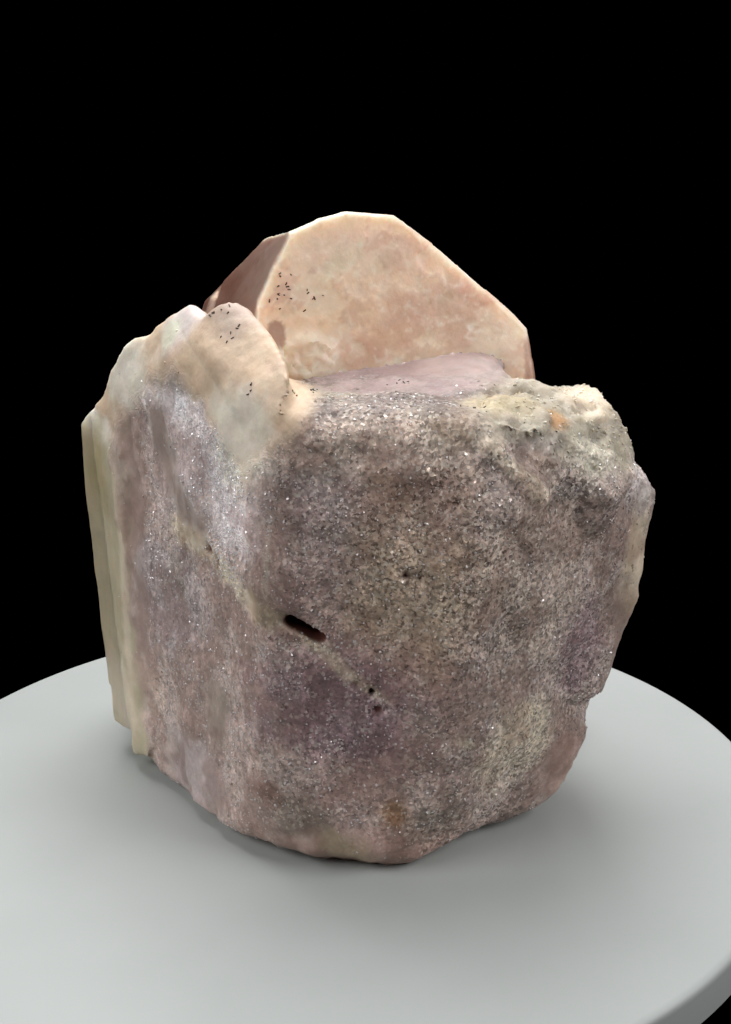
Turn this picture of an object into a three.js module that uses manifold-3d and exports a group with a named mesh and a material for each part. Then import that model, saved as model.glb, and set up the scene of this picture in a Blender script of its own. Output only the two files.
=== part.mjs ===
// A natural hand specimen: a stout, tabular morganite crystal that leans back through a block of
// granular lepidolite matrix, with a pale feldspar slab on its left side, a cluster of smooth pale
// crystals at its upper left, a lavender crystal on the ledge at the foot of its main face and a
// crumbly albite crust on its right shoulder.
// Millimetres, +Z up, -Y is the side that shows the crystal's main face. The specimen stands on a
// flat base at z = 0, and its origin is the centre of its base.
import * as THREE from "three";
import { ConvexGeometry } from "three/addons/geometries/ConvexGeometry.js";
import { ImprovedNoise } from "three/addons/math/ImprovedNoise.js";
import { TessellateModifier } from "three/addons/modifiers/TessellateModifier.js";
import { mergeVertices } from "three/addons/utils/BufferGeometryUtils.js";
import Module from "manifold-3d";

// ---- Driving dimensions (mm) ----
const SEAT_GAP = 0.55; // how far a crystal or a lump is grown to cut its seat in its neighbour
const FACE_Y = -22; // the main face crosses the z axis of the base plane at this y
const FACE_TURN = 0.31; // how far the main face runs back for each mm to the right
const FACE_LEAN = 0.325; // how far the main face runs back for each mm of height
const FRONT_DEPTH = 20; // depth of the front tablet of the morganite, across its main face
const REAR_DEPTH = 18; // where the rear tablet starts
const CRYSTAL_DEPTH = 33; // depth of the whole morganite
const STEP_HEIGHT = 0.8; // height of a growth step on a crystal face

const MATRIX_EDGE = 4.9; // longest triangle edge on the matrix
const CRUST_EDGE = 3.4; // longest triangle edge on the crust

// ---- Solids ----
const wasm = await Module();
wasm.setup();

// The solid of a closed geometry.
function solidOf(geometry) {
  const bare = new THREE.BufferGeometry();
  const source = geometry.index ? geometry.toNonIndexed() : geometry;
  bare.setAttribute("position", source.getAttribute("position"));
  const merged = mergeVertices(bare, 1e-3);
  return new wasm.Manifold(
    new wasm.Mesh({
      numProp: 3,
      vertProperties: new Float32Array(merged.attributes.position.array),
      triVerts: new Uint32Array(merged.index.array),
    }),
  );
}

// The indexed geometry of a solid.
function geometryOf(solid) {
  const mesh = solid.getMesh();
  const positions = new Float32Array(mesh.numVert * 3);
  for (let i = 0; i < mesh.numVert; i++) {
    positions.set(mesh.vertProperties.subarray(i * mesh.numProp, i * mesh.numProp + 3), i * 3);
  }
  const geometry = new THREE.BufferGeometry();
  geometry.setAttribute("position", new THREE.BufferAttribute(positions, 3));
  geometry.setIndex(new THREE.BufferAttribute(new Uint32Array(mesh.triVerts), 1));
  geometry.computeVertexNormals();
  return geometry;
}

// The convex solid over a list of [x, y, z] corners, grown all round by a gap when it is to cut
// the seat of a crystal.
function hull(corners, gap = 0) {
  const points = corners.map((c) => new THREE.Vector3(...c));
  if (gap === 0) return solidOf(new ConvexGeometry(points));
  const spread = points.flatMap((p) =>
    ["x", "y", "z"].flatMap((axis) =>
      [-gap, gap].map((step) => {
        const moved = p.clone();
        moved[axis] += step;
        return moved;
      }),
    ),
  );
  return solidOf(new ConvexGeometry(spread));
}

function union(solids) {
  return solids.reduce((joined, next) => joined.add(next));
}

// A box solid of a size, turned and then moved to a place.
function block(size, place, turn = [0, 0, 0]) {
  const geometry = new THREE.BoxGeometry(...size);
  const matrix = new THREE.Matrix4().makeRotationFromEuler(new THREE.Euler(...turn));
  matrix.setPosition(...place);
  return solidOf(geometry.applyMatrix4(matrix));
}

// ---- Surface relief ----
const noise = new ImprovedNoise();

// Smooth noise from about -1 to 1, with a wavelength in mm along each axis.
function waves(p, wavelength, octaves = 2) {
  const [wx, wy, wz] = Array.isArray(wavelength) ? wavelength : [wavelength, wavelength, wavelength];
  let sum = 0;
  for (let i = 0; i < octaves; i++) {
    const k = 2 ** i;
    sum += noise.noise((p.x * k) / wx + 7.3 * i, (p.y * k) / wy + 3.1, (p.z * k) / wz + 11.7 * i) / k;
  }
  return sum;
}

// The same solid with every triangle edge shorter than a length.
function refine(solid, longestEdge) {
  const flat = geometryOf(solid).toNonIndexed();
  flat.deleteAttribute("normal");
  return solidOf(new TessellateModifier(longestEdge, 24).modify(flat));
}

// Moves each corner part of the way to the middle of its neighbours, which rounds the edges.
function soften(solid, rounds) {
  const geometry = geometryOf(solid);
  const position = geometry.attributes.position;
  const index = geometry.index.array;
  const neighbours = Array.from({ length: position.count }, () => new Set());
  for (let i = 0; i < index.length; i += 3) {
    for (let k = 0; k < 3; k++) {
      neighbours[index[i + k]].add(index[i + ((k + 1) % 3)]);
      neighbours[index[i + k]].add(index[i + ((k + 2) % 3)]);
    }
  }
  for (let round = 0; round < rounds; round++) {
    const before = Float32Array.from(position.array);
    neighbours.forEach((around, i) => {
      const middle = new THREE.Vector3();
      around.forEach((n) => middle.add(new THREE.Vector3().fromArray(before, n * 3)));
      middle.divideScalar(around.size);
      const moved = new THREE.Vector3().fromArray(before, i * 3).lerp(middle, 0.5);
      position.setXYZ(i, moved.x, moved.y, moved.z);
    });
  }
  return solidOf(geometry);
}

// Moves each corner along its normal by relief(point, normal), in mm.
function displace(solid, relief) {
  const geometry = geometryOf(solid);
  const position = geometry.attributes.position;
  const normal = geometry.attributes.normal;
  for (let i = 0; i < position.count; i++) {
    const p = new THREE.Vector3().fromBufferAttribute(position, i);
    const n = new THREE.Vector3().fromBufferAttribute(normal, i);
    p.addScaledVector(n, relief(p, n));
    position.setXYZ(i, p.x, p.y, p.z);
  }
  return solidOf(geometry);
}

// A lump grown all round by the seat gap, to cut what rests on it.
function grown(lump) {
  return displace(lump, () => SEAT_GAP);
}

// Everything below the base plane.
const underBase = block([300, 300, 60], [0, 0, -30]);

// ---- Morganite ----
// Points on the crystal are given as [x, z, depth]: a place on the plane of the main face, and how
// far behind it the point lies.
const faceNormal = new THREE.Vector3(FACE_TURN, -1, FACE_LEAN).normalize();

function behindFace([x, z, depth]) {
  const onFace = new THREE.Vector3(x, FACE_Y + FACE_TURN * x + FACE_LEAN * z, z);
  return onFace.addScaledVector(faceNormal, -depth).toArray();
}

// A tablet parallel to the main face: an outline of [x, z] corners between two depths, with its
// edges drawn in at the front and at the back by two bevels.
function tablet(outline, [front, back], [frontBevel, backBevel], gap) {
  const middle = outline
    .reduce((sum, [x, z]) => [sum[0] + x, sum[1] + z], [0, 0])
    .map((s) => s / outline.length);
  const drawnIn = ([x, z], amount) => {
    const reach = Math.hypot(x - middle[0], z - middle[1]);
    const keep = (reach - amount) / reach;
    return [middle[0] + (x - middle[0]) * keep, middle[1] + (z - middle[1]) * keep];
  };
  const corners = [];
  for (const corner of outline) {
    corners.push([...drawnIn(corner, frontBevel), front]);
    corners.push([...corner, front + frontBevel]);
    corners.push([...corner, back - backBevel]);
    corners.push([...drawnIn(corner, backBevel), back]);
  }
  return hull(corners.map(behindFace), gap);
}

// The main face's outline, from its upper left corner and on clockwise. Its lower left is buried.
const frontOutline = [
  [-10.9, 89.8],
  [-6.2, 91.5],
  [-2.4, 92.3],
  [5, 91.3],
  [12.2, 85.6],
  [23.8, 75.4],
  [25.8, 73.2],
  [25.6, 64],
  [33.4, 14],
  [31, 8],
  [26, -4],
  [8, -6],
  [-8, 22],
  [-17, 50],
  [-18, 66],
  [-15.8, 80.4],
];

// The rear tablet is wider on both sides and stops a little lower.
const rearOutline = [
  [-19, 84],
  [-13.2, 89.4],
  [-4, 90.5],
  [4, 89],
  [24, 75.5],
  [30.6, 70.6],
  [31.2, 64],
  [33, 22],
  [32, 6],
  [27, -6],
  [-6, -10],
  [-19, 14],
  [-24, 40],
  [-25, 66],
];

// The terraces that growth left on the back of the morganite, each on the one before it.
const TERRACES = [
  [[-8, 80], [10, 76], [20, 58], [16, 34], [-4, 30], [-14, 48], [-14, 68]],
  [[-4, 70], [8, 66], [13, 52], [7, 40], [-5, 42], [-9, 56]],
];

// The oblique facet that runs back from the main face's left edge to the rear tablet.
const leftFacet = [
  [-10.9, 89.8, 0.5], [-15.8, 80.4, 0.5], [-18, 66, 0.5], [-17, 50, 0.5],
  [-12.2, 90.8, 11], [-13.2, 89.4, 18.6], [-19, 84, 25.5], [-25, 66, 25.5], [-24, 40, 25.5],
  [0, 84, 6], [0, 50, 6], [0, 84, 25.5], [0, 50, 25.5],
];

// The narrow side facets between the two tablets on the right.
const rightFacets = [
  [23.8, 75.4, 9], [30.6, 70.6, 13], [31.2, 64, 13], [33, 22, 13], [32, 6, 13], [27, -6, 13],
  [24, 75.5, 25.5], [30.6, 70.6, 25.5], [33, 22, 25.5], [32, 6, 25.5], [27, -6, 25.5],
  [8, 70, 9], [8, 0, 9], [8, 70, 25.5], [8, 0, 25.5],
];

// The whole morganite, grown by a gap when it is to cut its own seat.
function morganite(gap = 0) {
  const front = tablet(frontOutline, [0, FRONT_DEPTH], [0.5, 1.5], gap);
  const rear = tablet(rearOutline, [REAR_DEPTH, CRYSTAL_DEPTH], [2.5, 7], gap);
  const sides = [leftFacet, rightFacets].map((corners) => hull(corners.map(behindFace), gap));
  const terraces = TERRACES.map((outline, i) => {
    const rise = (i + 1) * STEP_HEIGHT;
    return tablet(outline, [CRYSTAL_DEPTH - 4, CRYSTAL_DEPTH + rise], [0, rise], gap);
  });
  return union([front, rear, ...sides, ...terraces]);
}

// Nicks broken out of the crest and the back.
function nicked(crystal) {
  const nicks = [
    block([7, 16, 2.2], [-6.5, 2, 92.4], [0.35, 0.32, 0.1]),
    block([5, 12, 3], [9.6, 10, 90.2], [0.3, 0.72, 0.2]),
    block([4, 14, 3], [26.6, 8, 75.2], [0.2, 0.9, 0]),
    block([10, 12, 5], [12, 44, 70], [0.5, 0.4, 0.3]),
    block([14, 9, 7], [-16, 24, 25], [0.7, 0.2, 0.4]),
  ];
  return nicks.reduce((made, nick) => made.subtract(nick), crystal).subtract(underBase);
}

// ---- Side crystals: smooth pale crystals grown together at the upper left ----
function sideCrystals(gap = 0) {
  const peachLobe = [
    [-22.9, -8, 79.6], [-20.7, -8, 81.3], [-17.8, -9, 81.4], [-16.2, -11, 80.6], [-14.1, -15, 79.1],
    [-12.2, -19, 77.4], [-10.7, -23, 75.2], [-9.9, -27, 72.6], [-11.5, -28.6, 69.6],
    [-13.9, -26.4, 65.3], [-16.4, -23.2, 61.3], [-18.5, -20.6, 61.6], [-20.5, -18.2, 65.7],
    [-22.1, -15.9, 71], [-22.8, -13, 75.8], [-26, -2, 75], [-15, 0, 70], [-11, -14, 66], [-20, -6, 58],
    [-26, -7, 66],
  ];
  const lavenderPoint = [
    [-25.8, -3, 80.4], [-23.6, -6, 79.4], [-28.4, -4, 76.6], [-31.9, 1, 76.7], [-29.8, -5.6, 72.7],
    [-22.8, -13, 75.6], [-25.5, -10.9, 70.4], [-22.6, -14.4, 68], [-28.6, -7.1, 63], [-32.9, -1.8, 65.7],
    [-24.6, 8, 77], [-31, 10, 74], [-18, -8, 70], [-20, -8, 62], [-22, 0, 66], [-30, 6, 60],
  ];
  const creamShoulder = [
    [-32.4, 0, 75.5], [-34.6, 3, 74.7], [-36.3, 5, 74], [-37.9, 6, 72], [-40.6, 9, 67.7], [-42, 10, 64.3],
    [-42.9, 11, 62.9], [-41, 9, 58], [-37.6, 4, 59.6], [-32.9, -1.7, 65.7], [-30.4, -4.6, 71],
    [-31, 13, 72], [-38, 18, 66], [-40, 19, 60], [-34, 8, 56],
  ];
  const step = [
    [-42.4, 10.6, 63.4], [-44.4, 12, 61.7], [-44.4, 16, 61], [-40, 19, 62], [-41.6, 9.6, 58], [-39, 14, 56],
  ];
  return union([peachLobe, lavenderPoint, creamShoulder, step].map((corners) => hull(corners, gap)));
}

// ---- Lavender crystal: low and flat, on the ledge before the main face ----
function lavenderCrystal(gap = 0) {
  const corners = [
    [-6.3, -1.9, 69.5], [1, 0.3, 69], [8.4, 2.6, 68.8], [12.3, 4.1, 69.6], [17.1, 6, 70.9],
    [19.5, 6.6, 70.3], [21.9, 6.8, 68.6], [21, -6, 69], [18.6, -12, 69], [14.4, -15.6, 68.8],
    [6.1, -16, 68.9], [-3, -16.6, 68.7], [-5.4, -14, 68.9], [-4, -3, 64], [19, 6, 64], [14, -14, 65],
    [-3, -14, 65],
  ];
  return hull(corners, gap);
}

// ---- Feldspar slab: parallel plates that end at different heights ----
function feldsparSlab(gap = 0) {
  const plates = [
    [
      [-46.9, 15, 57.8], [-45.7, 14, 60.2], [-43.4, 11.4, 61.4], [-40.4, 7.6, 59.4], [-40, 6.6, 9],
      [-45.5, 13.4, 12], [-47.1, 15, 50], [-45.4, 31, 15], [-38, 33, 10], [-46, 30, 51], [-38, 33, 55],
    ],
    [
      [-45.4, 12.8, 22], [-44.8, 12.2, 5.6], [-38.6, 3.6, 4.2], [-38.6, 3.4, 25], [-42.6, 27, 5.6],
      [-34, 28, 4.4], [-43, 27, 24], [-34, 28, 26],
    ],
    [
      [-41.2, 6, 57], [-39.4, 3.4, 54], [-37.8, 0.4, 4], [-41.4, 5.4, 2], [-33, 16, 2], [-34, 18, 50],
    ],
  ];
  return union(plates.map((corners) => hull(corners, gap)));
}

// ---- Albite crust: a crumbly cap on the right shoulder ----
function albiteCrust() {
  const lumps = [
    hull([
      [25.1, 0, 65.9], [30.7, -4, 65.3], [34.8, -6, 66.2], [36.3, -8, 64.6], [38.4, -9, 61.6],
      [39.4, -10, 58.6], [39.4, -14, 56], [34.6, -20, 55], [28, -25, 58], [24.6, -24, 65], [26, -14, 67],
      [30, 0, 52], [36, -2, 52], [26, -10, 52],
    ]),
    hull([
      [38.6, -12, 58], [39.6, -13, 56], [36.6, -20, 54.4], [33, -23, 55], [31, -24, 58], [32, -12, 52],
      [37, -9, 53],
    ]),
    hull([[15.5, -20, 69.2], [22, -12, 68.8], [27, -16, 67.4], [24, -27, 65.4], [18, -28, 67.6], [20, -16, 60]]),
    hull([[20, -4, 68.6], [25.4, -1, 67.2], [28, -10, 67], [22, -12, 69], [22, -8, 60]]),
  ];
  const rough = soften(refine(union(lumps), CRUST_EDGE), 1);
  return displace(rough, (p) => 0.7 * waves(p, 6, 3) + 0.5 * Math.abs(waves(p, 3.4)));
}

// ---- Matrix: a broken block of granular lepidolite ----
function matrixBlock() {
  const trunk = hull([
    // the front, down its left edge, its middle ridge and its lower right edge
    [-12.5, -27.4, 69], [-14.6, -27.6, 36], [-17.6, -25, 2], [-15, -24, -4],
    [13.4, -28.4, 69], [16.4, -27, 66.6], [18.6, -30.4, 60], [15.2, -31.6, 49], [9.6, -31.6, 37], [4, -30.6, 20],
    [-4, -29, -3], [4.4, -29, -2], [9.4, -27, 1.6], [13.6, -25.4, 5.4], [16.4, -24.6, 10],
    // the right side
    [27, -4, 62], [34, -8, 60], [38.4, -10, 56.6], [41.6, -8, 53.6], [43.4, -7, 49.6], [42.6, -8, 42.4],
    [41.2, -9, 37.6], [39.2, -9, 28], [37, -9.6, 21], [34, -10.4, 15.6],
    // the left side
    [-22.8, -14.4, 70], [-31.4, -2.6, 70], [-36.6, 4.4, 64], [-38.6, 5, 47], [-38.6, 5, 22],
    [-39.4, 5, 4], [-35.6, 0, 1], [-28.4, -9.4, -3], [-22.4, -18.4, -3],
    // the top and the back
    [-20, 0, 68.6], [0, -5, 67.4], [22, -2, 64], [-36, 22, 54], [-36, 24, 10], [35, 10, 48],
    [36, 8, 24], [30, 14, 52], [22, 18, 58], [-22, 22, 62], [-26, 22, -3],
  ]);
  // A crust on the morganite's lower end, set back behind the block's lower right edge.
  const foot = hull([
    [6, -24, -2], [14, -20, -2], [17.7, -18.4, 3], [22.6, -16.6, 1], [26, -14.8, 1.8], [28.4, -13.6, 6],
    [30.8, -12.6, 11], [32.9, -12, 15], [27, -19, 22], [16, -23, 16], [10, -12, -2], [28, -6, 2],
    [26, -8, 22],
  ]);
  const shoulder = hull([
    [40, -11, 56.6], [42.4, -8, 54], [44, -6, 50], [43.6, -2, 44], [38, 6, 52], [30, 4, 60],
    [36, -16, 46], [41, -6, 38],
  ]);
  // A collar of crust round the morganite's lower back, on which the specimen also stands.
  const collarLeft = hull([
    [-38, 14, 10], [-37, 20, 34], [-31, 22, 47], [-23, 22, 40], [-33, 30, 8], [-20, 35, 9], [-14, 29, 20],
    [-30, 28, -3], [-16, 33, -3], [-36, 8, -3], [-10, 8, -3],
  ]);
  const collarMiddle = hull([
    [-20, 32, -3], [-18, 35, 8], [-4, 37, 6], [9, 36, 4], [10, 35, -3], [-15, 27, 22], [0, 28, 13],
    [8, 29, 10], [-10, 8, -3], [8, 8, -3],
  ]);
  const collarRight = hull([
    [4, 33, -3], [8, 35, 6], [20, 35, 9], [28, 31, 12], [33, 24, 13], [34.5, 16, 10], [33, 9, 4],
    [31, 5, -3], [34, 14, -3], [33, 25, -3], [22, 34, -3], [26, 28, 21], [31, 20, 20], [12, 30, 14],
    [8, 8, -3],
  ]);
  return union([trunk, foot, shoulder, collarLeft, collarMiddle, collarRight]);
}

// The block's relief: broad swells, lumps, and upright ribs on the left side.
function matrixRelief(p, n) {
  const leftSide = THREE.MathUtils.smoothstep(-n.x, 0.35, 0.8);
  const swell = 1.1 * waves(p, 21, 1);
  const lumps = 1.2 * waves(p, 9, 2);
  const ribs = 0.9 * leftSide * waves(p, [5.5, 5.5, 30], 1);
  return (1 - 0.5 * leftSide) * (swell + lumps) + ribs;
}

// Loose chips that a cut leaves are dropped: a piece is its largest part.
function largest(solid) {
  return solid.decompose().reduce((best, part) => (part.volume() > best.volume() ? part : best));
}

function without(solid, cutters) {
  return largest(cutters.reduce((made, cutter) => made.subtract(cutter), solid));
}

function matrix() {
  const rough = displace(soften(refine(matrixBlock(), MATRIX_EDGE), 2), matrixRelief);
  // The slot that a dissolved crystal left, small pits along the seam below it, the undercut
  // below the crust and the notch above the morganite's lower end.
  const pits = [
    block([7.4, 12, 2], [-9.4, -28, 38.6], [0.1, 0.55, -0.1]),
    block([2.4, 8, 2], [-0.4, -31, 29.6], [0, 0.6, 0]),
    block([2, 7, 2.6], [6.8, -33, 46.8], [0, 0.2, 0]),
    block([20, 6, 1.8], [31.4, -23.4, 54], [0.4, -0.12, 0.62]),
    block([9, 9, 1.6], [31.6, -15, 18.6], [0.1, 0.5, 0.5]),
    block([4, 40, 15], [42.5, -4, 33], [0, 0.16, 0]),
  ];
  return [...pits, underBase].reduce((made, pit) => made.subtract(pit), rough);
}

// ---- Assembly ----
// Each crystal keeps its whole form, and what grew round it later takes its shape.
function assemble() {
  const crystal = nicked(morganite());
  const lobes = without(sideCrystals(), [morganite(SEAT_GAP)]);
  const slab = without(feldsparSlab(), [morganite(SEAT_GAP), sideCrystals(SEAT_GAP)]);
  const lavender = without(lavenderCrystal(), [morganite(SEAT_GAP), sideCrystals(SEAT_GAP)]);
  const crust = without(albiteCrust(), [morganite(SEAT_GAP), lavenderCrystal(SEAT_GAP)]);
  const seats = [
    morganite(SEAT_GAP),
    sideCrystals(SEAT_GAP),
    lavenderCrystal(SEAT_GAP),
    feldsparSlab(SEAT_GAP),
    grown(albiteCrust()),
  ];
  const block = without(matrix(), seats);
  return [
    ["matrix", block, 0x9b8a92, 0.8],
    ["morganite_crystal", crystal, 0xd9ae98, 0.3],
    ["side_crystals", lobes, 0xd8c8ba, 0.4],
    ["lavender_crystal", lavender, 0xc3a8bc, 0.35],
    ["feldspar_slab", slab, 0xb3ab84, 0.4],
    ["albite_crust", crust, 0xcfc8b2, 0.85],
  ];
}

const specimen = new THREE.Group();
for (const [name, solid, color, roughness] of assemble()) {
  const material = new THREE.MeshStandardMaterial({ color, roughness, metalness: 0, flatShading: true });
  const mesh = new THREE.Mesh(geometryOf(solid), material);
  mesh.name = name;
  specimen.add(mesh);
}

// The origin is the centre of the box round the base.
const box = new THREE.Box3().setFromObject(specimen);
const centre = box.getCenter(new THREE.Vector3());
specimen.position.set(-centre.x, -centre.y, -box.min.z);

export default specimen;
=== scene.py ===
"""Looks of the morganite crystal specimen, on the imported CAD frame.

Every CAD node is replaced by a finer copy of itself. Its relief, its colour zones and its grain are
worked out here from numbers in mm in the row frame; the Blender objects are in metres.
"""
from collections import namedtuple
from functools import partial

import bmesh
import bpy
import numpy as np
from mathutils import Matrix, Vector
from mathutils.bvhtree import BVHTree


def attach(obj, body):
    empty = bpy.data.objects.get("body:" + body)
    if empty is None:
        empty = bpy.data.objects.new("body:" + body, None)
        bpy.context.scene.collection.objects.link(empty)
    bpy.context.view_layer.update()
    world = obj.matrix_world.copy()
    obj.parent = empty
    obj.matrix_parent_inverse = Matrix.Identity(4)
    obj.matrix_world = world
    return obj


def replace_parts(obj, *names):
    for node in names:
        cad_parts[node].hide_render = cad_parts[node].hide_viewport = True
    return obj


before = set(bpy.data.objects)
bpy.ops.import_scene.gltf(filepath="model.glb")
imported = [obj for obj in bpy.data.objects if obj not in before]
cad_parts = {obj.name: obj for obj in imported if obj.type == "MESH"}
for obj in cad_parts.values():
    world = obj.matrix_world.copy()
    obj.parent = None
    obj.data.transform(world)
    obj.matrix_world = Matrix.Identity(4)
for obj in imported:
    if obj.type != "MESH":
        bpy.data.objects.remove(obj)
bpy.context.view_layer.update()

MM = 0.001
WELD = 1e-7  # metres; the imported mesh splits a corner once for each face that meets there

# ---- colours

# The minerals' colours, with those painted as light and shade among them, in sRGB from 0 to 255.
PALETTE = {
    "grey_beige": (190, 170, 162),
    "pale_beige": (208, 189, 175),
    "lilac_pale": (242, 230, 230),
    "lilac_grey": (186, 172, 171),
    "lilac_white": (224, 212, 208),
    "lavender": (155, 133, 132),
    "lavender_pale": (178, 158, 152),
    "smoke": (180, 166, 158),
    "olive_grey": (152, 138, 126),
    "pink_grey": (230, 207, 192),
    "brown_grey": (184, 166, 150),
    "brown": (216, 192, 170),
    "violet": (160, 132, 138),
    "pink": (196, 164, 152),
    "stain": (184, 142, 100),
    "cream": (226, 210, 188),
    "cream_yellow": (178, 162, 132),
    "cream_white": (246, 238, 222),
    "green_white": (216, 213, 192),
    "grey_cream": (212, 203, 184),
    "peach_pale": (216, 190, 163),
    "peach": (236, 208, 179),
    "peach_cream": (230, 212, 188),
    "salmon": (206, 164, 138),
    "dusky_rose": (168, 128, 108),
    "crust": (174, 163, 145),
    "front": (200, 170, 163),
    "rose_brown": (140, 96, 80),
    "rose_grey": (180, 150, 136),
    "olive": (192, 180, 152),
    "olive_dark": (176, 160, 122),
    "pit": (106, 62, 52),
    "pit_brown": (72, 46, 36),
    "speck": (48, 36, 28),
    "silver": (246, 242, 244),
}


def linear(colour):
    """The linear red, green and blue of a palette colour."""
    srgb = np.array(PALETTE[colour]) / 255
    return np.where(srgb < 0.04045, srgb / 12.92, ((srgb + 0.055) / 1.055) ** 2.4)


# Zones: the place, its centre, its radius across, its half height, its colour and its strength.
MATRIX_ZONES = [
    ("left sheen", (-24, -12, 60), 13, 14, "lilac_pale", 0.6),
    # Painted sheen: the top of the left face is laid silver.
    ("left top", (-27, -8, 69), 9, 5, "silver", 0.9),
    ("left sheen by the edge", (-17, -24, 58), 8, 12, "lilac_pale", 0.9),
    ("left middle", (-28, -9, 35), 13, 12, "lilac_grey", 0.8),
    ("olive window", (-21, -19, 20.5), 4, 6.5, "olive_grey", 0.8),
    ("left foot", (-26, -14, 8), 11, 8, "lilac_grey", 0.7),
    ("left pink", (-35, 0, 17), 6, 8, "pink_grey", 0.6),
    ("band beside the slab", (-36, 2.5, 45), 3.5, 26, "brown_grey", 0.7),
    ("lobe's foot", (-15.5, -24.5, 63), 7, 8, "cream_white", 0.85),
    ("top cream", (-6, -18, 69.5), 9, 4, "cream", 1),
    ("beside the plate", (21, -10, 68.5), 5.5, 3, "cream", 0.9),
    ("front", (1, -33, 34), 17, 30, "front", 0.85),
    ("front top", (4, -32, 65), 18, 5, "pink_grey", 0.9),
    ("front top right", (16, -29, 67), 8, 4, "cream", 0.6),
    ("front brown", (8, -33, 46), 12, 16, "brown", 1),
    ("front dusk", (9, -33, 57), 8, 6, "rose_grey", 0.5),
    ("front lilac", (-4, -32, 56), 6, 8, "lilac_grey", 0.4),
    ("front violet", (-3, -31, 27), 14, 10, "violet", 0.9),
    ("bottom pink", (2, -30, 3), 18, 6, "pink", 0.9),
    ("bottom olive", (-9, -30, 9), 5, 4, "olive_grey", 0.8),
    ("bottom cream", (-3, -31, 4), 5, 3.5, "cream_yellow", 0.7),
    ("bottom right olive", (11, -31, 9), 6, 5, "olive_grey", 0.7),
    ("brown blotch", (-13.4, -29, 12), 3, 3, "rose_brown", 0.5),
    ("green window", (-14.1, -28.4, 42.3), 1.8, 2.6, "olive_dark", 0.7),
    ("bottom stain", (4.8, -32.5, 10.6), 3, 3, "stain", 0.8),
    ("right grey", (25, -28, 45), 11, 16, "pale_beige", 0.7),
    ("right violet", (33, -19, 30), 5.5, 9, "violet", 0.8),
    ("right rim", (42, -12, 42), 4, 12, "peach_cream", 0.95),
    ("right corner", (42.5, -11, 54), 7, 6, "lilac_white", 0.9),
    ("granular foot", (23, -25, 17), 9, 9, "cream", 0.9),
    ("pink foot", (31, -18, 9), 6, 8, "pink", 0.8),
    # Painted shadow: a thin smoky band under the crust's ledge.
    ("under the crust", (28, -26, 56), 9, 1.6, "smoke", 0.7),
    # Painted light: the hollow below the crust is painted paler to lift its shade.
    ("hollow below the crust", (24, -27, 62.5), 4.5, 3, "pink_grey", 0.9),
    ("back lilac", (4, 20, 40), 26, 14, "lilac_grey", 0.7),
    ("back cream", (-14, 22, 14), 15, 9, "cream", 0.5),
    ("back violet", (22, 18, 18), 12, 10, "violet", 0.6),
]
CRUST_ZONES = [
    ("peach top", (34.5, -13.7, 66), 5, 4, "peach_cream", 0.9),
    ("yellow left", (21, -22, 68.7), 6, 4, "cream_yellow", 0.9),
    ("grey bump", (33, -22, 59.5), 5.5, 4, "grey_cream", 0.9),
    ("lilac hollow", (23, -27, 63), 5, 2.5, "lilac_white", 0.8),
    ("orange stain", (28.3, -22.5, 65.8), 2.6, 1.6, "stain", 0.9),
]
SIDE_ZONES = [
    ("lobe's top", (-16.5, -14, 80), 7, 4, "lavender_pale", 0.5),
    ("lavender point", (-24.5, -7, 79), 5.5, 6, "lilac_white", 0.9),
    ("green patch", (-26.6, -6.4, 76.5), 2.6, 3, "green_white", 0.9),
    ("cream shoulder", (-35, 1.5, 70), 8.5, 9, "cream_white", 0.9),
    ("lobe's warm heart", (-15, -22, 72), 5, 7, "peach", 0.6),
    ("lobe's foot", (-15.5, -24.5, 65), 8, 8, "cream_white", 0.75),
]
MORGANITE_ZONES = [
    ("cream top", (0, 4, 89), 16, 5, "peach_cream", 0.8),
    ("cream left", (-8, -1, 82), 6, 5, "peach_cream", 0.7),
    ("salmon foot", (0, -3, 71.5), 10, 3.4, "salmon", 0.9),
    ("salmon middle", (10, 1, 76), 6, 4, "salmon", 0.5),
    ("salmon right", (17, 4, 77), 8, 6, "salmon", 0.7),
    ("cream right", (24, 5, 71), 5, 5, "cream", 0.6),
    ("cream foot left", (-7, -5, 72), 6.5, 4.5, "peach_cream", 0.8),
]
LAVENDER_ZONES = [
    ("left end", (-3, -14, 69), 5, 4, "lavender_pale", 0.6),
    ("right end", (16, -6, 70), 7, 4, "lavender_pale", 0.7),
]
SLAB_ZONES = [
    # Painted highlight: a cream band down the slab's rib.
    ("cream rib", (-38.4, 1.8, 40), 1.9, 40, "cream", 0.8),
    ("cream top", (-41, 8, 63), 9, 8, "cream_white", 0.9),
    ("dark window", (-42, 9, 52), 3.5, 9, "olive_dark", 0.7),
    ("cream foot", (-40.6, 5, 12), 8, 12, "cream", 0.7),
]

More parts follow.
